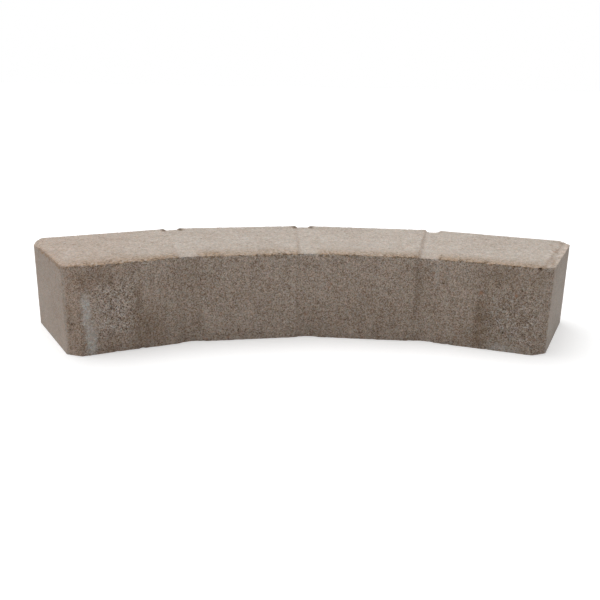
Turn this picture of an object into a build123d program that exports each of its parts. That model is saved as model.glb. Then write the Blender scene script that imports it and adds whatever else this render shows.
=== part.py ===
from build123d import *
import os
from math import cos, radians, sin, tan

# A curved kerb stone, pressed from concrete in one piece. It looks like a row of four straight
# setts that turn a little from one to the next, with false joints between them.
# The concave side faces -Y, the stone is longest along X, and it lies on its bed with +Z up.

# Overall form
sett_count = 4
sett_length = 100.0  # of one sett along the concave face, from joint centre to joint centre
turn_angle = 14.2  # from one sett to the next, in degrees
depth = 110.0  # from the concave face to the convex face
height = 75.0

# Corners of the two ends, seen from above
concave_corner_chamfer = 9.5
convex_corner_chamfer = 11.5
corner_round = 4.0  # softens both edges of each corner chamfer

# Top of the setts
arris_bevel = 0.8  # along the concave and the convex face
top_strip_depth = 1.0  # how far the joints and the rims of both ends lie below the setts
end_strip_width = 8.0

# False joints: a strip over the top, and a groove down each long face
joint_width_concave = 20.0
joint_width_convex = 16.0
concave_groove_depth = 1.5
convex_groove_depth = 4.0
concave_wall_angle = 60.0  # of a groove's walls, away from square to the face
convex_wall_angle = 35.0

# Distances from the centre of the curve, along a sett's own centre line
half_turn = radians(turn_angle) / 2
concave_radius = sett_length / 2 / tan(half_turn)
convex_radius = concave_radius + depth

same_point = 0.001  # two plan points nearer than this are one


def radial_point(distance, inset, side):
    """A plan point beside a sett's radial boundary: inset towards the sett's middle, side is 1 or -1."""
    return (side * (distance * tan(half_turn) - inset), distance)


def end_outline(side):
    """The free end of the stone, from the concave to the convex face, with its corners chamfered."""
    along_end = (side * sin(half_turn), cos(half_turn))
    concave_corner = radial_point(concave_radius, 0, side)
    convex_corner = radial_point(convex_radius, 0, side)
    return [
        radial_point(concave_radius, concave_corner_chamfer, side),
        (
            concave_corner[0] + concave_corner_chamfer * along_end[0],
            concave_corner[1] + concave_corner_chamfer * along_end[1],
        ),
        (
            convex_corner[0] - convex_corner_chamfer * along_end[0],
            convex_corner[1] - convex_corner_chamfer * along_end[1],
        ),
        radial_point(convex_radius, convex_corner_chamfer, side),
    ]


def joint_outline(side):
    """A sett's side at a false joint, from the concave to the convex face, with sloped groove walls."""
    concave_inset = joint_width_concave / 2
    convex_inset = joint_width_convex / 2
    concave_run = concave_groove_depth * tan(radians(concave_wall_angle))
    convex_run = convex_groove_depth * tan(radians(convex_wall_angle))
    return [
        radial_point(concave_radius, concave_inset, side),
        radial_point(concave_radius + concave_groove_depth, concave_inset - concave_run, side),
        radial_point(convex_radius - convex_groove_depth, convex_inset - convex_run, side),
        radial_point(convex_radius, convex_inset, side),
    ]


def sett_block(left_is_end, right_is_end):
    """One sett without its joints, standing across the Y axis at its distance from the curve's centre."""
    left = end_outline(-1) if left_is_end else joint_outline(-1)
    right = end_outline(1) if right_is_end else joint_outline(1)
    plan = make_face(Polyline(*right, *reversed(left), close=True))
    end_points = (left if left_is_end else []) + (right if right_is_end else [])
    corners = [
        corner
        for corner in plan.vertices()
        if any((Vector(corner) - Vector(*point)).length < same_point for point in end_points)
    ]
    if corners:
        plan = fillet(corners, corner_round)
    return extrude(plan, height)


def bevel_arris(block, face_distance, outward):
    """Takes the top arris off the long face at that distance from the curve's centre."""
    slope = Plane(origin=(0, face_distance, height - arris_bevel), z_dir=(0, outward, 1))
    return split(block, bisect_by=slope, keep=Keep.BOTTOM)


def end_strip(side):
    """What is taken off the top along a free end. It reaches past the stone on the other sides."""
    nearest = concave_radius - end_strip_width
    furthest = convex_radius + end_strip_width
    outline = Polyline(
        radial_point(nearest, end_strip_width, side),
        radial_point(nearest, -end_strip_width, side),
        radial_point(furthest, -end_strip_width, side),
        radial_point(furthest, end_strip_width, side),
        close=True,
    )
    return Pos(0, 0, height - top_strip_depth) * extrude(make_face(outline), top_strip_depth)


def joint_web(side):
    """Half of the sunken strip between two setts, from a sett's middle to its radial boundary."""
    concave_floor = concave_radius + concave_groove_depth
    convex_floor = convex_radius - convex_groove_depth
    outline = Polyline(
        (0, concave_floor),
        radial_point(concave_floor, 0, side),
        radial_point(convex_floor, 0, side),
        (0, convex_floor),
        close=True,
    )
    return extrude(make_face(outline), height - top_strip_depth)


def sett(index):
    """One sett in its place on the curve, with its half of the joint beside each neighbour."""
    left_is_end = index == 0
    right_is_end = index == sett_count - 1
    body = sett_block(left_is_end, right_is_end)
    body = bevel_arris(body, concave_radius, -1)
    body = bevel_arris(body, convex_radius, 1)
    for side, is_end in ((-1, left_is_end), (1, right_is_end)):
        if is_end:
            body -= end_strip(side)
        else:
            body += joint_web(side)
    bearing = (index - (sett_count - 1) / 2) * turn_angle
    return Rot(0, 0, -bearing) * body


def kerb_stone():
    """The whole stone, with its origin at the middle of its bed."""
    stone = sett(0)
    for index in range(1, sett_count):
        stone += sett(index)
    middle = stone.bounding_box().center()
    return Pos(-middle.X, -middle.Y, 0) * stone


os.makedirs("parts", exist_ok=True)
stone = kerb_stone()
stone.label = "kerb_stone"
export_step(stone, "parts/kerb_stone.step")
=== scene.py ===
from collections import namedtuple
from functools import reduce
import math

import bmesh
import bpy
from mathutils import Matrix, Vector, kdtree, noise
import numpy as np


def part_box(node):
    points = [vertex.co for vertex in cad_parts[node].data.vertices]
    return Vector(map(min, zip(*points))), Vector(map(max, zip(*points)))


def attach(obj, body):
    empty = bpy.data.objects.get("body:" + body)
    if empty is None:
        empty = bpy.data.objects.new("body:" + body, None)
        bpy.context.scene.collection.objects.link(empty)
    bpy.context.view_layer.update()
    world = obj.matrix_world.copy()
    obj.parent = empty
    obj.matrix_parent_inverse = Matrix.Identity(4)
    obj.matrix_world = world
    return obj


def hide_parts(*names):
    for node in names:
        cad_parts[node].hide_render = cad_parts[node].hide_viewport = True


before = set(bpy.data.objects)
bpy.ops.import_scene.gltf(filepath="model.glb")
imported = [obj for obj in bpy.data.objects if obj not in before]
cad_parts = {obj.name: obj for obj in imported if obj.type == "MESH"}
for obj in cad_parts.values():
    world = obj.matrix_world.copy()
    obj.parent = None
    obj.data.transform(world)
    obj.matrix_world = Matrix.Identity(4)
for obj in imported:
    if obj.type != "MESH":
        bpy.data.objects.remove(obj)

# A curved kerb stone of pressed concrete, dressed for its picture.
# Lengths are in metres. The sizes of the stone itself repeat those of the model.

MM = 0.001
NODE = "kerb_stone"
PIECE = "kerb_stone_cast"

# The stone: a row of straight setts with false joints between them, and chamfered corners at its ends
SETT_COUNT = 4
SETT_LENGTH = 100 * MM
TURN = math.radians(14.2)
DEPTH = 110 * MM
CONVEX_CORNER_CHAMFER = 11.5 * MM
STRIP_DEPTH = 1 * MM
END_STRIP_WIDTH = 8 * MM
JOINT_WIDTH_CONVEX = 16 * MM
CONCAVE_GROOVE_DEPTH = 1.5 * MM
CONVEX_GROOVE_DEPTH = 4 * MM
# Half the width of a joint's sunken strip, at the floors of its two grooves
HALF_STRIP_CONCAVE = 7.4 * MM
HALF_STRIP_CONVEX = 5.2 * MM

LOWEST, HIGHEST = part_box(NODE)
HEIGHT = HIGHEST.z
CONCAVE_RADIUS = SETT_LENGTH / 2 / math.tan(TURN / 2)
CONVEX_RADIUS = CONCAVE_RADIUS + DEPTH
# The stone reaches furthest back where the middle setts meet the middle joint.
BACK_REACH = CONVEX_RADIUS / math.cos(TURN / 2) - JOINT_WIDTH_CONVEX / 2 * math.sin(TURN / 2)
CURVE_CENTRE_Y = HIGHEST.y - BACK_REACH

# How squarely a point faces out or up where it starts to belong to a long face or to the top,
# and where it wholly does
FACING_OUT = (0.35, 0.7)
FACING_UP = (0.45, 0.75)

# The fine mesh: how often its grid is halved, the share of the grid that the stone fills,
# how near two of its points are when they are joined, and from what angle on an edge is sharp
GRID_DEPTH = 9
GRID_SHARE = 0.64
WELD = 0.25 * MM
SHARP_EDGE = math.radians(50)

# How deep each sunken strip came out: the left end, the three joints and the right end
STRIP_DEPTHS = (0.6 * MM, 0.5 * MM, 0.5 * MM, 1.3 * MM, 0.4 * MM)
# Half the width of the slope at a strip's left border and at its right border,
# and how far outside the strip the left one has its middle
STRIP_SLOPES = (0.9 * MM, 3 * MM)
STRIP_SHIFT = 1 * MM
# The right end's strip is narrower at the convex face, by this much.
RIGHT_STRIP_TAPER = 4 * MM
# What still counts as the model's top, or as a strip's floor
LEVEL_MARGIN = 0.1 * MM

# How much is worn off the top where the left end meets the convex face. It reaches this far
# in from the end and down, and fades out between these depths under the convex face.
CORNER_WEAR = 2.6 * MM
CORNER_REACH = 8 * MM
CORNER_FADE = (12 * MM, 40 * MM)
# That corner is also fuller than its chamfer, by this much.
CORNER_FULLNESS = 1.5 * MM

# Relief of the cast surface, as depths under the model's faces. Waves are sizes and strengths.
SWELL_DEPTH = 0.2 * MM
SWELL_SIZE = 45 * MM
COARSE_GRIT = 0.4 * MM
FINE_GRIT = 0.15 * MM
GRIT_WAVES = ((3.4 * MM, 0.6), (6.5 * MM, 0.4))
CHIP_DEPTH = 2.2 * MM
CHIP_REACH = 4 * MM
CHIP_WAVES = ((11 * MM, 1.0), (4.5 * MM, 0.8))
PIT_COUNT = 600
PIT_RADIUS = (1.4 * MM, 2.8 * MM)
PIT_DEPTH = 1.0 * MM
SEED = 7
# The higher this is, the more of an edge is chipped.
CHIP_COVER = 0.2
# What is left of the swell, of the chance of a pit and of its depth on the faces pressed smooth
SMOOTH_SWELL = 0.4
SMOOTH_PIT_CHANCE = 0.1
SMOOTH_PIT_DEPTH = 0.25
# What is left of the chips on the convex edge, and on the edges of the right end
CONVEX_CHIPS = 0.08
RIGHT_END_CHIPS = 0.15
# All the relief is weaker by this share along the convex edge.
CONVEX_CALM = 0.6

# Small lips of concrete beside a joint, on the top's convex edge: how far they reach,
# how strong they are at each end and joint, and how deep under the convex face
# the painted shadow in the notch beside them is full and where it ends
LIP_REACH = 3.5 * MM
LIP_STRENGTH = (0.0, 1.0, 1.0, 0.3, 0.0)
NOTCH_FADE = (7 * MM, 14 * MM)

# How far from an end the scraped surface stops: on the left at the bed and at the top, and on the
# right. Then the height and the size of this border's ripples, and half the width of its soft edge
LEFT_MARGIN = (1.2 * MM, 2.0 * MM)
RIGHT_MARGIN = 0.5 * MM
MARGIN_RIPPLE = 0.5 * MM
MARGIN_RIPPLE_SIZE = 9 * MM
MARGIN_SOFTNESS = 0.5 * MM

# How strong the crumbly rim of the top is: in a joint's strip, from where it grows to its full
# strength between these distances from the strip's border, on the right end, and at the left end's
# convex corner, from where it does so between these depths under the convex face
JOINT_RIM = 0.15
JOINT_RIM_FADE = (-1 * MM, 2 * MM)
RIGHT_RIM = 0.15
LEFT_CORNER_RIM = 0.25
LEFT_RIM_GROWTH = (6 * MM, 40 * MM)
# At the ends the rim is this many times narrower. On their tops it begins this far in.
END_RIM_SQUEEZE = 4
END_RIM_START = 7 * MM
# Half the width over which the rim of an end turns into that of the concave face
RIM_CORNER = 4 * MM
# The band that hangs from the rim is taller on the left end, by this much.
LEFT_BAND = 2.4 * MM
# The painted highlight along the edge of an end's top: where it is full and where it ends,
# and its strength on the left
EDGE_HIGHLIGHT_REACH = (2 * MM, 6 * MM)
LEFT_EDGE_HIGHLIGHT = 0.5

# The painted shadow along a strip's left border, where the top steps down into the strip:
# how strong it is at each end and joint, how far outside the strip it lies at the concave and at the
# convex face, where it is full and where it ends to either side, and the share of it at the concave
# and at the convex face
BORDER_SHADOW_STRENGTH = (0.0, 0.2, 0.4, 0.6, 0.55)
BORDER_SHADOW_SHIFT = (0.7 * MM, 1.6 * MM)
BORDER_SHADOW_WIDTH = (0.3 * MM, 1.9 * MM)
BORDER_SHADOW_SHARE = (0.95, 0.65)

# Marks on the concave face: the sett, the mark's middle along it and above the bed, its half sizes
Mark = namedtuple("Mark", "sett along height wide tall strength")
FILM = (
    Mark(0, -34.8 * MM, 38 * MM, 3.8 * MM, 14 * MM, 1.0),
    Mark(0, -32.2 * MM, 14 * MM, 4.4 * MM, 15 * MM, 1.0),
    Mark(0, -19 * MM, 32 * MM, 12 * MM, 18 * MM, 0.11),
    Mark(3, 16 * MM, 2 * MM, 14 * MM, 5 * MM, 0.45),
    Mark(3, 24 * MM, 17 * MM, 6 * MM, 6 * MM, 0.2),
    Mark(3, -42 * MM, 60 * MM, 2 * MM, 16 * MM, 0.2),
)
GRAINY = (
    Mark(0, -12 * MM, 37 * MM, 17 * MM, 23 * MM, 1.0),
    Mark(3, 22 * MM, 30 * MM, 24 * MM, 27 * MM, 0.7),
)
BROWN = (
    Mark(0, -24 * MM, 63 * MM, 17 * MM, 7 * MM, 0.38),
    Mark(0, 14 * MM, 19 * MM, 14 * MM, 18 * MM, 0.66),
    Mark(0, 7 * MM, 26 * MM, 4 * MM, 28 * MM, 0.7),
    Mark(1, -45 * MM, 38 * MM, 4 * MM, 40 * MM, 0.15),
    Mark(1, -44.3 * MM, 60 * MM, 1.8 * MM, 15 * MM, 0.4),
    Mark(3, -3 * MM, 22 * MM, 7 * MM, 24 * MM, 0.95),
    Mark(3, 8 * MM, 62 * MM, 18 * MM, 12 * MM, 0.6),
    Mark(3, 38 * MM, 40 * MM, 12 * MM, 38 * MM, 0.35),
    Mark(3, 12 * MM, 36 * MM, 24 * MM, 38 * MM, 0.5),
    Mark(2, 44 * MM, 45 * MM, 4 * MM, 28 * MM, 0.35),
)
# Small round holes and reddish stones on the concave face
HOLES = (
    Mark(2, 4.2 * MM, 48.5 * MM, 1.7 * MM, 1.7 * MM, 0.4),
    Mark(3, -36.4 * MM, 53.5 * MM, 1.7 * MM, 1.7 * MM, 0.6),
    Mark(3, 40 * MM, 74.5 * MM, 2.3 * MM, 2.3 * MM, 1.0),
)
RED_STONES = (
    Mark(3, -4.8 * MM, 49.2 * MM, 1.5 * MM, 1.5 * MM, 0.9),
    Mark(3, 23.2 * MM, 49.8 * MM, 1.5 * MM, 1.5 * MM, 0.9),
)
# Tan stains on the top, then blotches of painted shadow by the right end's strip.
# Here a mark's height is the distance in from the concave face.
STAINS = (
    Mark(0, 28 * MM, 6 * MM, 11 * MM, 4 * MM, 0.6),
    Mark(1, -31 * MM, 8 * MM, 8 * MM, 7 * MM, 0.8),
    Mark(3, -33 * MM, 5 * MM, 9 * MM, 5 * MM, 0.5),
)
BORDER_SHADOW_SPOTS = (
    Mark(3, 54.4 * MM, 96 * MM, 2.2 * MM, 6 * MM, 0.55),
    Mark(3, 46.1 * MM, 88.6 * MM, 1.8 * MM, 5 * MM, 0.35),
    Mark(3, 50.8 * MM, 64 * MM, 2.0 * MM, 10 * MM, 0.6),
    Mark(3, 48.8 * MM, 27 * MM, 2 * MM, 16 * MM, 0.75),
)
# A round spot is full up to this share of its half size, and ends at this one.
SPOT_EDGE = (0.7, 1.2)

# Albedo of the concrete: scraped along the mould on the long faces, pressed smooth elsewhere
LONG_FACE = (0.482, 0.386, 0.317)
TOP_FACE = (0.512, 0.446, 0.392)
END_FACE = (0.455, 0.395, 0.348)
FILM_COLOUR = (0.68, 0.645, 0.61)
BROWN_COLOUR = (0.25, 0.175, 0.12)
FRINGE_COLOUR = (0.405, 0.295, 0.205)
# Painted highlight along the ends' top edges
EDGE_HIGHLIGHT = (0.62, 0.52, 0.45)
RED_STONE = (0.42, 0.24, 0.16)
PALE_STONE = (0.62, 0.54, 0.44)
# The painted shadow along the strips' borders is given this brown.
BORDER_SHADOW_COLOUR = (0.245, 0.155, 0.10)
ROUGHNESS = 0.92
SPECULAR = 0.25

# The left end is a little browner: its tint, where that begins and where it is full
LEFT_TINT = (0.95, 0.905, 0.88)
LEFT_TONE = (-110 * MM, -190 * MM)

# Noise in the concrete: size, detail and roughness. The scrapes are drawn out upwards,
# and the crumbs inwards, by these scales. Grains and stones are cells of these sizes.
SAND = (0.5 * MM, 2.0, 0.6)
CRUMBS = (2.2 * MM, 2.0, 0.6)
CRUMB_SCALE = (1, 0.45, 1)
SPECKLE = (2.6 * MM, 3.0, 0.65)
SCRAPES = (6 * MM, 3.0, 0.6)
SCRAPE_SCALE = (1, 1, 0.12)
WAVES = (8 * MM, 3.0, 0.65)
MOTTLE = (12 * MM, 3.0, 0.6)
CLOUDS = (50 * MM, 2.0, 0.5)
GRAIN_SIZE = 0.8 * MM
STONE_SIZE = 1.8 * MM

# Most values of a noise lie in the first range, and most of the sand's in the second.
NOISE_RANGE = (0.3, 0.7)
SAND_RANGE = (0.25, 0.75)

# How patterns become shares of a colour: a pattern's low and high value, then the share at each
SMEAR_PATCHES = (0.41, 0.52, 0.15, 1.0)
TAN_GRAINS = (0.78, 0.84, 0.0, 0.65)
# The painted highlight on the ends' top edges, broken up by the waves
EDGE_HIGHLIGHT_PATCHES = (0.4, 0.6, 0.1, 0.9)
STAIN_PATCHES = (0.38, 0.54, 0.2, 1.0)
BROWN_PATCHES = (0.35, 0.6, 0.4, 1.0)
WARM_CLOUDS = (0.45, 0.7, 0.0, 0.18)
FILM_PATCHES = (0.35, 0.62, 0.4, 1.0)
PALE_GRAINS = (0.7, 0.8, 0.06, 0.38)
# The painted shadow along the strips' borders, broken up by the waves
BORDER_SHADOW_PATCHES = (0.42, 0.56, 0.35, 1.0)
# Which stones are reddish, by both of their random values, and which are pale
RED_STONES_CHOSEN = (0.992, 0.994, 0.0, 1.0)
RED_STONES_TINTED = (0.4, 0.5, 0.0, 0.5)
PALE_STONES_CHOSEN = (0.008, 0.006, 0.0, 0.5)
# The share of the warm clouds on the smooth faces
SMOOTH_WARMTH = 0.6

# How patterns become lighter and darker shades, in the same way
DARK_GRAINS = (0.1, 0.22, -0.42, 0.0)
FLECKS = (0.1, 0.16, -0.13, 0.0)
# Painted shadow in the pores, and in small holes along the rim
PORE_SHADOWS = (0.2, 0.9, 0.0, -0.2)
RIM_HOLE_SHADOWS = (0.0, 0.45, -0.8, 0.0)
CRUMB_SHADES = (0.36, 0.64, -0.34, 0.2)
CRUMB_PATCHES = (0.4, 0.6, 0.25, 1.0)
# The share of the painted shadows of the rim's holes on the faces below it
HOLE_SHADOWS_BELOW_RIM = 0.3
# The ends' shades, from the bed to the top
END_SHADES = (0.0, HEIGHT, 0.12, -0.10)

# How much the other patterns lighten and darken the concrete
SAND_SHADE = 0.5
GRAIN_SHADE = 0.33
SPECKLE_SHADE = 0.09
MOTTLE_SHADE = 0.06
CLOUD_SHADE = 0.03
SCRAPE_SHADE = 0.07
TOP_SPECKLE_SHADE = 0.13
TOP_WAVE_SHADE = 0.085
# Painted shadow in the notches beside the joints' lips
NOTCH_SHADOW = 0.75
# Painted shadow in the holes of the concave face
HOLE_SHADOW = 0.8
DARKEST = 0.05

# Contrast of the sand and grains on the smooth and on the long faces, what is added to it
# where they are coarse, and the share of it that shows through the film
GRAIN_CONTRAST = (0.56, 1.3)
COARSE_CONTRAST = 0.4
FILM_CONTRAST = 0.4

# The range of the grains' own red and blue, and the powers of the shade in them:
# pale grains are greyer and dark ones browner.
RED_TINTS = (0.90, 1.10)
BLUE_TINTS = (1.08, 0.90)
RED_POWER = 0.85
BLUE_POWER = 1.14

# The bump of the grains, from their middles outwards, and its strength on the smooth and long faces
GRAIN_BUMPS = (0.0, 0.6, 1.0, 0.0)
BUMP_STRENGTH = (0.4, 1.0)
BUMP_HEIGHT = 0.5 * MM

# The fringe along the rim: how far the waves let it hang over the faces below, how soft its edge
# is there, how far it reaches inwards and how it thins out, and where its single tan grains
# and its crumbs fade out
OVERHANG = (0.42, 0.66, 0.3 * MM, 2.8 * MM)
OVERHANG_SOFTNESS = 0.5 * MM
FRINGE_REACH = 30 * MM
FRINGE_POWER = 1.5
TAN_GRAIN_FADE = (3 * MM, 24 * MM)
CRUMB_FADE = (1 * MM, 18 * MM)

# The studio
FLOOR_SIDE = 6.0
FLOOR_COLOUR = (0.74, 0.74, 0.74, 1)
FLOOR_ROUGHNESS = 0.9
FLOOR_LIFT = 0.42
WHITE = (1, 1, 1, 1)
WORLD_STRENGTH = 0.42
SUN_STRENGTH = 1.9
SUN_ANGLE = math.radians(50)
SUN_FROM = (-0.24, 0.25, 1.0)

# Where the photograph was taken from. The turn is in degrees, the lens and the sensor in millimetres.
CAMERA_PLACE = (-0.03944, -0.65015, 0.23031)
CAMERA_TURN = (72.369, -0.963, -2.717)
CAMERA_LENS = 45.363
SENSOR_WIDTH = 36.0


def smooth(value, low, high):
    """0 at low, 1 at high, with a soft start and end. Works downwards too, where low is over high."""
    share = np.clip((value - low) / (high - low), 0, 1)
    return share * share * (3 - 2 * share)


def fading(value, reach):
    """1 up to where a reach is full, falling softly to 0 where it ends."""
    full_to, ends_at = reach
    return smooth(value, ends_at, full_to)


def between(share, start, end):
    """Goes evenly from start to end while the share goes from 0 to 1."""
    return start + (end - start) * share


def ripple(points, size, seed):
    """Soft noise from -1 to 1 at each point, with waves of about that size."""
    shift = Vector((seed * 7.31, seed * 3.17, seed * 5.73))
    return np.array([noise.noise(Vector(point) + shift) for point in points / size])


def ripples(points, waves, first_seed):
    """The sum of soft noises, given by their sizes and strengths."""
    parts = enumerate(waves, first_seed)
    return sum(strength * ripple(points, size, seed) for seed, (size, strength) in parts)


# Places on the stone

class Places:
    """Where each point lies on the stone: its sett, its depth under each of the faces, its side."""

    def __init__(self, points, normals):
        x = points[:, 0]
        y = points[:, 1] - CURVE_CENTRE_Y
        middle = (SETT_COUNT - 1) / 2
        nearest = np.rint(np.arctan2(x, y) / TURN + middle)
        self.sett = np.clip(nearest, 0, SETT_COUNT - 1).astype(int)
        turn = (self.sett - middle) * TURN
        self.along = x * np.cos(turn) - y * np.sin(turn)
        out = x * np.sin(turn) + y * np.cos(turn)
        self.concave = out - CONCAVE_RADIUS
        self.convex = CONVEX_RADIUS - out
        self.top = HEIGHT - points[:, 2]
        self.bed = points[:, 2]
        # The radial boundaries are numbered from the left end to the right end. The left border
        # of a boundary's strip is on the right half of a sett.
        self.by_left_border = self.along > 0
        self.boundary = self.sett + self.by_left_border
        self.at_left_end = self.boundary == 0
        self.at_right_end = self.boundary == SETT_COUNT
        self.at_end = self.at_left_end | self.at_right_end
        self.inset = out * math.tan(TURN / 2) - np.abs(self.along)
        strip_length = DEPTH - CONCAVE_GROOVE_DEPTH - CONVEX_GROOVE_DEPTH
        share = np.clip((self.concave - CONCAVE_GROOVE_DEPTH) / strip_length, 0, 1)
        joint_border = between(share, HALF_STRIP_CONCAVE, HALF_STRIP_CONVEX)
        end_border = END_STRIP_WIDTH - RIGHT_STRIP_TAPER * share * self.at_right_end
        self.from_strip = self.inset - np.where(self.at_end, end_border, joint_border)
        facing_out = normals[:, 0] * np.sin(turn) + normals[:, 1] * np.cos(turn)
        self.is_long = smooth(np.abs(facing_out), *FACING_OUT)
        self.is_top = smooth(normals[:, 2], *FACING_UP)
        self.faces_concave = facing_out < 0

    def arris(self, face, reach):
        """1 on the edge between the top and a face, falling to 0 at that reach from it."""
        return 1 - smooth(np.maximum(self.top, face), 0, reach)

    def end_face(self):
        """Depth under the nearest free end, or far away where a joint is nearer."""
        return np.where(self.at_end, self.inset * math.cos(TURN / 2), DEPTH)

    def pick(self, values):
        """Each point's own one of the values, which belong to the boundaries from left to right."""
        return np.array(values)[self.boundary]


def marks(places, table, second):
    """How strongly each point is covered by a table's marks. Second is where it lies along their height."""
    cover = np.zeros(len(places.sett))
    for mark in table:
        across = (places.along - mark.along) / mark.wide
        up = (second - mark.height) / mark.tall
        near = np.exp(-(across**4) - up**4) * (places.sett == mark.sett)
        cover = np.maximum(cover, mark.strength * near)
    return cover


def face_marks(places, table):
    """How strongly each point is covered by the marks of a table on the concave face."""
    return marks(places, table, places.bed) * places.is_long * places.faces_concave


def face_point(mark):
    """The middle of a mark, as a point on the concave face."""
    turn = (mark.sett - (SETT_COUNT - 1) / 2) * TURN
    x = mark.along * math.cos(turn) + CONCAVE_RADIUS * math.sin(turn)
    y = CONCAVE_RADIUS * math.cos(turn) - mark.along * math.sin(turn)
    return Vector((x, y + CURVE_CENTRE_Y, mark.height))


# The fine mesh and the shape of its top

def dense_copy(source, name):
    """A new object with source's shape, as an even mesh of small cells that keeps its edges."""
    piece = bpy.data.objects.new(name, source.data.copy())
    bpy.context.scene.collection.objects.link(piece)
    cells = piece.modifiers.new("cells", "REMESH")
    cells.mode = "SHARP"
    cells.octree_depth = GRID_DEPTH
    cells.scale = GRID_SHARE
    evaluated = piece.evaluated_get(bpy.context.evaluated_depsgraph_get())
    mesh = bpy.data.meshes.new_from_object(evaluated)
    piece.modifiers.clear()
    piece.data = mesh
    mesh.materials.clear()
    return piece


def read_vectors(collection, name):
    """One named property of all the items of a mesh collection, as rows of three numbers."""
    values = np.empty(len(collection) * 3)
    collection.foreach_get(name, values)
    return values.reshape(-1, 3)


def strip_rise(places):
    """How far the top rises to give each sunken strip its own depth and sloped borders."""
    near_top = (places.top < STRIP_DEPTH + LEVEL_MARGIN) & (places.is_top > 0)
    on_floor = near_top & (places.top > STRIP_DEPTH - LEVEL_MARGIN)
    slope = np.where(places.by_left_border, *STRIP_SLOPES)
    from_slope = places.from_strip - STRIP_SHIFT * places.by_left_border
    drop = places.pick(STRIP_DEPTHS) * smooth(from_slope, slope, -slope)
    return np.where(on_floor, STRIP_DEPTH, 0) - np.where(near_top, drop, 0)


def corner_drop(places):
    """How far the top is worn down where the left end meets the convex face."""
    beside_end = smooth(places.end_face(), CORNER_REACH, 0) * smooth(places.top, CORNER_REACH, 0)
    return CORNER_WEAR * beside_end * fading(places.convex, CORNER_FADE) * places.at_left_end


def corner_bulge(places):
    """How far the chamfer of that corner stands out, down to half its width under it."""
    across = (places.end_face() - places.convex) / CONVEX_CORNER_CHAMFER
    under = (places.end_face() + places.convex - CONVEX_CORNER_CHAMFER) / math.sqrt(2)
    crown = np.clip(1 - across**2, 0, 1) * smooth(under, CONVEX_CORNER_CHAMFER / 2, 0)
    return CORNER_FULLNESS * crown * places.at_left_end


def shape_top(mesh):
    """Gives the top its strips and its worn corner, and joins the points that come to lie together."""
    points = read_vectors(mesh.vertices, "co")
    places = Places(points, read_vectors(mesh.vertices, "normal"))
    points[:, 2] += strip_rise(places)
    points[:, 2] -= corner_drop(places)
    # The corner's chamfer faces half way between the left end and the convex face.
    corner_turn = SETT_COUNT / 2 * TURN - math.pi / 4
    bulge = corner_bulge(places)
    points[:, 0] -= bulge * math.cos(corner_turn)
    points[:, 1] -= bulge * math.sin(corner_turn)
    mesh.vertices.foreach_set("co", points.ravel())
    shell = bmesh.new()
    shell.from_mesh(mesh)
    bmesh.ops.remove_doubles(shell, verts=shell.verts, dist=WELD)
    shell.to_mesh(mesh)
    shell.free()


# The cast surface

def open_pores(points, places, random):
    """Small open pores, mostly on the long faces, as a share of the full depth at each point."""
    tree = kdtree.KDTree(len(points))
    for index, point in enumerate(points):
        tree.insert(point, index)
    tree.balance()
    chance = between(places.is_long, SMOOTH_PIT_CHANCE, 1.0)
    middles = random.choice(len(points), PIT_COUNT, replace=False, p=chance / chance.sum())
    depth = np.zeros(len(points))
    for middle, radius in zip(middles, random.uniform(*PIT_RADIUS, PIT_COUNT)):
        for _, index, distance in tree.find_range(points[middle], radius):
            hollow = 1 - (distance / radius) ** 2
            depth[index] = max(depth[index], hollow * radius / PIT_RADIUS[1])
    return depth


def worn_depth(points, places, pores):
    """What is worn off or left open, as a depth under the model's faces."""
    coarse = places.is_long
    swell = SWELL_DEPTH * between(coarse, SMOOTH_SWELL, 1) * (0.5 + 0.5 * ripple(points, SWELL_SIZE, 3))
    grit = between(coarse, FINE_GRIT, COARSE_GRIT) * (0.5 + ripples(points, GRIT_WAVES, 1))
    holes = face_marks(places, HOLES)
    pits = PIT_DEPTH * np.maximum(pores * between(coarse, SMOOTH_PIT_DEPTH, 1), holes)
    front = places.arris(places.concave, CHIP_REACH)
    back = places.arris(places.convex, CHIP_REACH)
    ends = np.where(places.at_left_end, 1, RIGHT_END_CHIPS)
    ends = ends * places.arris(places.end_face(), CHIP_REACH)
    edge = np.maximum(np.maximum(front, CONVEX_CHIPS * back), ends)
    chips = CHIP_DEPTH * edge * np.clip(CHIP_COVER + ripples(points, CHIP_WAVES, 4), 0, 1)
    return np.maximum((swell + grit + pits + chips) * (1 - CONVEX_CALM * back), 0)


def joint_lips(places):
    """How far each lip stands up to the level of the setts, over the bevel of the convex edge."""
    from_groove = places.inset - JOINT_WIDTH_CONVEX / 2
    beside_joint = smooth(np.abs(from_groove - LIP_REACH / 2), LIP_REACH, 0) * (places.top < STRIP_DEPTH)
    return places.pick(LIP_STRENGTH) * beside_joint * smooth(places.convex, LIP_REACH, LIP_REACH / 2)


# What the material reads from the mesh

def scraped_face(points, places):
    """The scraped surface of the long faces, which ends unevenly on the chamfers beside the ends."""
    left_margin = between(places.bed / HEIGHT, *LEFT_MARGIN)
    margin = np.where(places.at_left_end, left_margin, RIGHT_MARGIN)
    margin += MARGIN_RIPPLE * ripple(points, MARGIN_RIPPLE_SIZE, 6)
    return places.is_long * smooth(places.end_face() - margin, -MARGIN_SOFTNESS, MARGIN_SOFTNESS)


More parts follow.
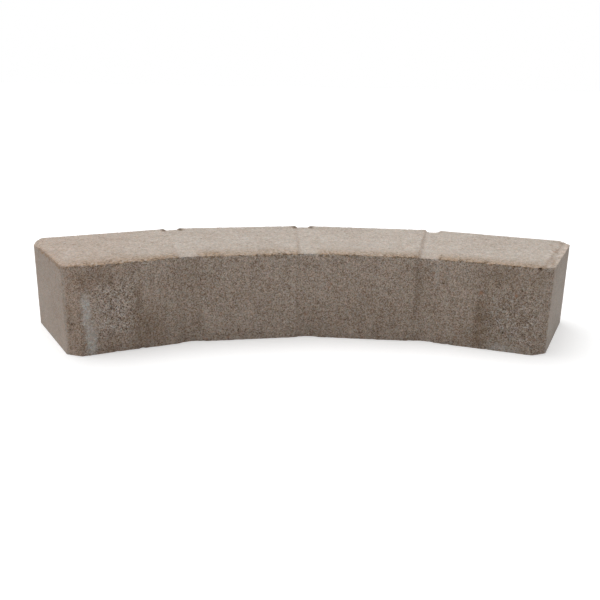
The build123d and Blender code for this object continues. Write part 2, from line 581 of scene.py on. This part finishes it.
def rim_layers(places):
    """How near each point is to the crumbly rim of the top, how strong the rim is there,
    and the painted highlights along the edges of the ends' tops."""
    left_rim = between(smooth(places.convex, *LEFT_RIM_GROWTH), LEFT_CORNER_RIM, 1)
    end_rim = np.where(places.at_left_end, left_rim, RIGHT_RIM)
    joint_rim = between(smooth(places.from_strip, *JOINT_RIM_FADE), JOINT_RIM, 1)
    by_front = smooth(places.end_face() - places.concave, -RIM_CORNER, RIM_CORNER)
    to_end = places.end_face() * END_RIM_SQUEEZE + END_RIM_START * places.is_top
    below_rim = places.top - LEFT_BAND * places.at_left_end * (1 - by_front)
    # Painted highlight on the top beside an end's edge
    edge_highlight = fading(places.end_face(), EDGE_HIGHLIGHT_REACH) * places.is_top
    return {
        "rim": np.where(places.at_end, between(by_front, end_rim, 1), joint_rim),
        "from_rim": np.minimum(places.concave, to_end),
        "below_rim": np.maximum(below_rim, 0) * (1 - places.is_top),
        "edge_highlight": edge_highlight * np.where(places.at_left_end, LEFT_EDGE_HIGHLIGHT, 1),
    }


def joint_layers(places):
    """The painted shadow along the strips' left borders, and in the notch beside each joint's lips."""
    across = smooth(places.concave, 0, DEPTH)
    from_line = np.abs(places.from_strip - between(places.concave / DEPTH, *BORDER_SHADOW_SHIFT))
    line = fading(from_line, BORDER_SHADOW_WIDTH) * places.by_left_border * between(across, *BORDER_SHADOW_SHARE)
    border_shadow = np.maximum(places.pick(BORDER_SHADOW_STRENGTH) * line, marks(places, BORDER_SHADOW_SPOTS, places.concave))
    in_corner = smooth(np.abs(places.inset - JOINT_WIDTH_CONVEX / 2), LIP_REACH, 0)
    # Painted shadow in the corner of the notch beside each lip
    notch_shadow = places.pick(LIP_STRENGTH) * in_corner * fading(places.convex, NOTCH_FADE)
    return {"border_shadow": border_shadow * places.is_top, "notch_shadow": notch_shadow * places.is_top}


def kerb_stone():
    """The visual piece, cast from a copy of the model's mesh."""
    piece = dense_copy(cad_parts[NODE], PIECE)
    mesh = piece.data
    shape_top(mesh)
    points = read_vectors(mesh.vertices, "co")
    normals = read_vectors(mesh.vertices, "normal")
    places = Places(points, normals)
    pores = open_pores(points, places, np.random.default_rng(SEED))
    moved = points - normals * worn_depth(points, places, pores)[:, None]
    moved[:, 2] += joint_lips(places) * (HEIGHT - moved[:, 2])
    moved = np.clip(moved, np.array(LOWEST), np.array(HIGHEST))
    mesh.vertices.foreach_set("co", moved.ravel())
    mesh.shade_smooth()
    mesh.set_sharp_from_angle(angle=SHARP_EDGE)

    layers = {
        "long_face": scraped_face(points, places),
        "top_face": places.is_top,
        "left_tone": smooth(points[:, 0], *LEFT_TONE),
        "pores": pores,
        "film": face_marks(places, FILM),
        "grainy": face_marks(places, GRAINY),
        "brown": face_marks(places, BROWN),
        "stains": marks(places, STAINS, places.concave) * places.is_top,
        **rim_layers(places),
        **joint_layers(places),
    }
    for name, values in layers.items():
        layer = mesh.attributes.new(name, "FLOAT", "POINT")
        layer.data.foreach_set("value", values.astype(np.float32))
    mesh.materials.append(concrete())
    mesh.update()
    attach(piece, "root")
    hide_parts(NODE)


# Materials

class Nodes:
    """Adds shader nodes to a material and links what they are given."""

    def __init__(self, tree):
        self.tree = tree

    def set(self, socket, value):
        if isinstance(value, bpy.types.NodeSocket):
            self.tree.links.new(value, socket)
        else:
            socket.default_value = value

    def add(self, kind, inputs=None, **settings):
        node = self.tree.nodes.new("ShaderNode" + kind)
        for name, value in settings.items():
            setattr(node, name, value)
        for name, value in (inputs or {}).items():
            self.set(node.inputs[name], value)
        return node

    def maths(self, operation, *values):
        return self.add("Math", dict(enumerate(values)), operation=operation).outputs[0]

    def product(self, *values):
        return reduce(lambda first, second: self.maths("MULTIPLY", first, second), values)

    def total(self, *values):
        return reduce(lambda first, second: self.maths("ADD", first, second), values)

    def span(self, value, low, high, start=0.0, end=1.0):
        """Maps a value from low and high to start and end, and holds it there outside."""
        inputs = {"Value": value, "From Min": low, "From Max": high, "To Min": start, "To Max": end}
        return self.add("MapRange", inputs).outputs["Result"]

    def between(self, share, start, end):
        """Goes evenly from start to end while a share goes from 0 to 1."""
        return self.span(share, 0.0, 1.0, start, end)

    def sway(self, pattern, strength):
        """A noise pattern stretched to go from minus to plus the strength."""
        return self.span(pattern, *NOISE_RANGE, -strength, strength)

    def patchy(self, layer, pattern, patches):
        """A layer's share, broken up by a pattern that is mapped as the patches say."""
        return self.product(layer, self.span(pattern, *patches))

    def blend(self, share, first, second, how="MIX"):
        """Mixes two colours by a share of the second."""
        node = self.add("Mix", data_type="RGBA", blend_type=how)
        sockets = {socket.identifier: socket for socket in node.inputs}
        self.set(sockets["Factor_Float"], share)
        for name, value in (("A_Color", first), ("B_Color", second)):
            self.set(sockets[name], (*value, 1) if isinstance(value, tuple) else value)
        return next(socket for socket in node.outputs if socket.identifier == "Result_Color")

    def coated(self, colour, *coats):
        """A colour with coats over it, each given as its share and its own colour."""
        for share, coat in coats:
            colour = self.blend(share, colour, coat)
        return colour

    def colour(self, red, green, blue):
        return self.add("CombineColor", {0: red, 1: green, 2: blue}).outputs[0]

    def layer(self, name):
        """A value stored on the mesh."""
        return self.add("Attribute", attribute_name=name).outputs["Fac"]

    def scaled(self, place, scale):
        return self.add("Mapping", {"Vector": place, "Scale": scale}).outputs[0]

    def noise(self, place, size, detail, roughness):
        inputs = {"Vector": place, "Scale": 1 / size, "Detail": detail, "Roughness": roughness}
        return self.add("TexNoise", inputs).outputs["Fac"]

    def grains(self, place, size):
        """Cells of about that size: how far a place is from its cell's middle, and two random values."""
        node = self.add("TexVoronoi", {"Vector": place, "Scale": 1 / size})
        values = self.add("SeparateColor", {"Color": node.outputs["Color"]}).outputs
        return node.outputs["Distance"], values[0], values[1]


class Patterns:
    """The patterns and the mesh's layers that several parts of the concrete share."""

    def __init__(self, nodes):
        self.place = nodes.add("TexCoord").outputs["Object"]
        self.long_face = nodes.layer("long_face")
        self.top_face = nodes.layer("top_face")
        self.grainy = nodes.layer("grainy")
        self.film = nodes.layer("film")
        self.rim = nodes.layer("rim")
        self.from_rim = nodes.layer("from_rim")
        self.sand = nodes.noise(self.place, *SAND)
        self.speckle = nodes.noise(self.place, *SPECKLE)
        self.waves = nodes.noise(self.place, *WAVES)
        self.clouds = nodes.noise(self.place, *CLOUDS)
        self.from_middle, self.grain, self.tint = nodes.grains(self.place, GRAIN_SIZE)
        _, self.stone, self.stone_tint = nodes.grains(self.place, STONE_SIZE)


def spots(nodes, place, table):
    """How much each place is covered by the small round spots of a table on the concave face."""
    cover = 0.0
    for mark in table:
        ends = {0: place, 1: face_point(mark)}
        gap = nodes.add("VectorMath", ends, operation="DISTANCE").outputs["Value"]
        full_to, ends_at = (share * mark.wide for share in SPOT_EDGE)
        cover = nodes.maths("MAXIMUM", cover, nodes.span(gap, full_to, ends_at, mark.strength, 0.0))
    return cover


def fringe(nodes, look):
    """An uneven smear that hangs from the rim of the top over the faces below, and thins out inwards:
    how much hangs there, and the whole smear."""
    overhang = nodes.patchy(look.rim, look.waves, OVERHANG)
    below = nodes.maths("SUBTRACT", nodes.layer("below_rim"), overhang)
    hanging = nodes.span(below, 0.0, OVERHANG_SOFTNESS, 1.0, 0.0)
    inward = nodes.span(look.from_rim, 0.0, FRINGE_REACH, 1.0, 0.0)
    inward = nodes.maths("POWER", inward, FRINGE_POWER)
    smear = nodes.patchy(nodes.product(inward, hanging, look.rim), look.speckle, SMEAR_PATCHES)

    # Single tan grains lie further in.
    near = nodes.product(look.rim, nodes.span(look.from_rim, *TAN_GRAIN_FADE, 1.0, 0.0), look.top_face)
    return hanging, nodes.maths("MAXIMUM", smear, nodes.patchy(near, look.stone, TAN_GRAINS))


def colour_with_stains_and_painted_light(nodes, look, hanging, smear):
    """The base colour of each face, with what lies on it, and painted highlights and shadows on the top."""
    colour = nodes.coated(
        END_FACE,
        (nodes.product(look.long_face, nodes.maths("SUBTRACT", 1.0, hanging)), LONG_FACE),
        (look.top_face, TOP_FACE),
        # Painted highlight along the ends' top edges
        (nodes.patchy(nodes.layer("edge_highlight"), look.waves, EDGE_HIGHLIGHT_PATCHES), EDGE_HIGHLIGHT),
        (smear, FRINGE_COLOUR),
        (nodes.patchy(nodes.layer("stains"), look.speckle, STAIN_PATCHES), FRINGE_COLOUR),
        (nodes.patchy(nodes.layer("brown"), look.speckle, BROWN_PATCHES), BROWN_COLOUR),
    )
    colour = nodes.blend(nodes.layer("left_tone"), colour, LEFT_TINT, "MULTIPLY")
    warmth = nodes.between(look.long_face, SMOOTH_WARMTH, 1.0)
    return nodes.coated(
        colour,
        (nodes.patchy(warmth, look.clouds, WARM_CLOUDS), BROWN_COLOUR),
        (nodes.patchy(look.film, look.speckle, FILM_PATCHES), FILM_COLOUR),
        (nodes.patchy(look.grainy, look.stone, PALE_GRAINS), FILM_COLOUR),
        # Painted shadow along the strips' left borders, in brown
        (nodes.patchy(nodes.layer("border_shadow"), look.waves, BORDER_SHADOW_PATCHES), BORDER_SHADOW_COLOUR),
    )


def fine_shade(nodes, look):
    """Light and dark grains, coarser and stronger on the long faces, weaker under the film."""
    contrast = nodes.total(
        nodes.between(look.long_face, *GRAIN_CONTRAST),
        nodes.product(look.grainy, COARSE_CONTRAST),
    )
    contrast = nodes.product(contrast, nodes.between(look.film, 1.0, FILM_CONTRAST))
    grains = nodes.total(
        nodes.span(look.sand, *SAND_RANGE, -SAND_SHADE, SAND_SHADE),
        nodes.between(look.grain, -GRAIN_SHADE, GRAIN_SHADE),
        nodes.sway(look.speckle, SPECKLE_SHADE),
    )
    dark_grains = nodes.patchy(look.grainy, look.stone, DARK_GRAINS)
    return nodes.total(nodes.product(grains, contrast), dark_grains)


def wide_shade(nodes, look):
    """Clouds all over, blotches and flecks on the top, streaks down the long faces, and ends
    that are a little darker towards the top."""
    mottle = nodes.sway(nodes.noise(look.place, *MOTTLE), MOTTLE_SHADE)
    clouds = nodes.sway(look.clouds, -CLOUD_SHADE)
    blotches = nodes.total(
        nodes.sway(look.speckle, TOP_SPECKLE_SHADE),
        nodes.sway(look.waves, TOP_WAVE_SHADE),
        nodes.span(look.stone, *FLECKS),
    )
    scrapes = nodes.noise(nodes.scaled(look.place, SCRAPE_SCALE), *SCRAPES)
    streaks = nodes.product(nodes.sway(scrapes, SCRAPE_SHADE), look.long_face)
    end_face = nodes.maths("SUBTRACT", 1.0, nodes.maths("MAXIMUM", look.long_face, look.top_face))
    up = nodes.add("SeparateXYZ", {"Vector": look.place}).outputs["Z"]
    ends = nodes.patchy(end_face, up, END_SHADES)
    return nodes.total(mottle, clouds, nodes.product(look.top_face, blotches), streaks, ends)


def hollow_shadows(nodes, look):
    """Painted shadow in the pores, the notches and the holes."""
    return nodes.total(
        nodes.span(nodes.layer("pores"), *PORE_SHADOWS),
        nodes.product(nodes.layer("notch_shadow"), -NOTCH_SHADOW),
        nodes.product(spots(nodes, look.place, HOLES), -HOLE_SHADOW),
    )


def rim_shade(nodes, look, smear):
    """Painted shadows of small open holes along the rim, and crumbs that were dragged inwards over the top.
    """
    holes = nodes.patchy(smear, look.stone_tint, RIM_HOLE_SHADOWS)
    holes = nodes.product(holes, nodes.between(look.top_face, HOLE_SHADOWS_BELOW_RIM, 1.0))
    crumbs = nodes.noise(nodes.scaled(look.place, CRUMB_SCALE), *CRUMBS)
    near = nodes.product(nodes.span(look.from_rim, *CRUMB_FADE, 1.0, 0.0), look.rim, look.top_face)
    near = nodes.patchy(near, look.waves, CRUMB_PATCHES)
    return nodes.total(holes, nodes.patchy(near, crumbs, CRUMB_SHADES))


def shaded(nodes, look, colour, shade):
    """The colour with its grains lighter and darker, and each of its own tint."""
    red_share = nodes.between(nodes.product(nodes.total(look.tint, look.stone_tint), 0.5), *RED_TINTS)
    blue_share = nodes.between(look.tint, *BLUE_TINTS)
    colour = nodes.blend(1.0, colour, nodes.colour(red_share, 1.0, blue_share), "MULTIPLY")
    shade = nodes.maths("MAXIMUM", nodes.total(shade, 1.0), DARKEST)
    red_shade = nodes.maths("POWER", shade, RED_POWER)
    blue_shade = nodes.maths("POWER", shade, BLUE_POWER)
    return nodes.blend(1.0, colour, nodes.colour(red_shade, shade, blue_shade), "MULTIPLY")


def with_odd_stones(nodes, look, colour):
    """A few reddish and a few pale stones among the rest."""
    red = nodes.span(look.stone, *RED_STONES_CHOSEN)
    red = nodes.patchy(red, look.stone_tint, RED_STONES_TINTED)
    red = nodes.maths("MAXIMUM", red, spots(nodes, look.place, RED_STONES))
    pale = nodes.span(look.stone, *PALE_STONES_CHOSEN)
    return nodes.coated(colour, (red, RED_STONE), (pale, PALE_STONE))


def concrete():
    """The colour of each face with its stains and painted highlights and shadows, then its shades,
    odd stones and a fine bump.
    """
    material = bpy.data.materials.new("concrete")
    material.use_nodes = True
    nodes = Nodes(material.node_tree)
    look = Patterns(nodes)
    hanging, smear = fringe(nodes, look)
    shade = nodes.total(
        fine_shade(nodes, look),
        wide_shade(nodes, look),
        hollow_shadows(nodes, look),
        rim_shade(nodes, look, smear),
    )
    colour = colour_with_stains_and_painted_light(nodes, look, hanging, smear)
    colour = with_odd_stones(nodes, look, shaded(nodes, look, colour, shade))
    height = nodes.total(
        nodes.span(look.sand, *SAND_RANGE),
        nodes.span(look.from_middle, *GRAIN_BUMPS),
    )
    strength = nodes.between(look.long_face, *BUMP_STRENGTH)
    bump = nodes.add("Bump", {"Height": height, "Strength": strength, "Distance": BUMP_HEIGHT})
    shader = material.node_tree.nodes["Principled BSDF"]
    nodes.set(shader.inputs["Base Color"], colour)
    nodes.set(shader.inputs["Normal"], bump.outputs["Normal"])
    shader.inputs["Roughness"].default_value = ROUGHNESS
    shader.inputs["Specular IOR Level"].default_value = SPECULAR
    return material


# Floor, light and camera

def seen_directly(nodes):
    """1 for what the camera sees, also in a mirror or through glass."""
    rays = nodes.add("LightPath").outputs
    seen = nodes.maths("MAXIMUM", rays["Is Camera Ray"], rays["Is Glossy Ray"])
    return nodes.maths("MAXIMUM", seen, rays["Is Transmission Ray"])


def floor():
    """A pale floor that keeps the stone's shadow. Seen directly, it is lifted to the backdrop's white."""
    corners = [(-1, -1), (1, -1), (1, 1), (-1, 1)]
    mesh = bpy.data.meshes.new("floor")
    mesh.from_pydata([(x * FLOOR_SIDE, y * FLOOR_SIDE, 0) for x, y in corners], [], [(0, 1, 2, 3)])
    plane = bpy.data.objects.new("floor", mesh)
    bpy.context.scene.collection.objects.link(plane)
    material = bpy.data.materials.new("pale_floor")
    material.use_nodes = True
    nodes = Nodes(material.node_tree)
    shader = material.node_tree.nodes["Principled BSDF"]
    shader.inputs["Base Color"].default_value = FLOOR_COLOUR
    shader.inputs["Roughness"].default_value = FLOOR_ROUGHNESS
    shader.inputs["Emission Color"].default_value = WHITE
    nodes.set(shader.inputs["Emission Strength"], nodes.product(seen_directly(nodes), FLOOR_LIFT))
    mesh.materials.append(material)


def studio_light():
    """An even pale world, plain white where it is seen directly, and a wide soft sun from above."""
    world = bpy.data.worlds.new("studio")
    world.use_nodes = True
    bpy.context.scene.world = world
    nodes = Nodes(world.node_tree)
    background = world.node_tree.nodes["Background"]
    background.inputs["Color"].default_value = WHITE
    nodes.set(background.inputs["Strength"], nodes.between(seen_directly(nodes), WORLD_STRENGTH, 1.0))

    lamp = bpy.data.lights.new("soft_sun", "SUN")
    lamp.energy = SUN_STRENGTH
    lamp.angle = SUN_ANGLE
    holder = bpy.data.objects.new("soft_sun", lamp)
    holder.rotation_euler = Vector(SUN_FROM).to_track_quat("Z", "Y").to_euler()
    bpy.context.scene.collection.objects.link(holder)


def camera():
    """Looks at the stone as the photograph does."""
    data = bpy.data.cameras.new("camera")
    data.sensor_width = SENSOR_WIDTH
    data.lens = CAMERA_LENS
    holder = bpy.data.objects.new("camera", data)
    holder.location = CAMERA_PLACE
    holder.rotation_euler = [math.radians(angle) for angle in CAMERA_TURN]
    bpy.context.scene.collection.objects.link(holder)
    bpy.context.scene.camera = holder


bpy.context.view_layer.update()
kerb_stone()
floor()
studio_light()
camera()
bpy.context.scene.view_settings.view_transform = "Standard"
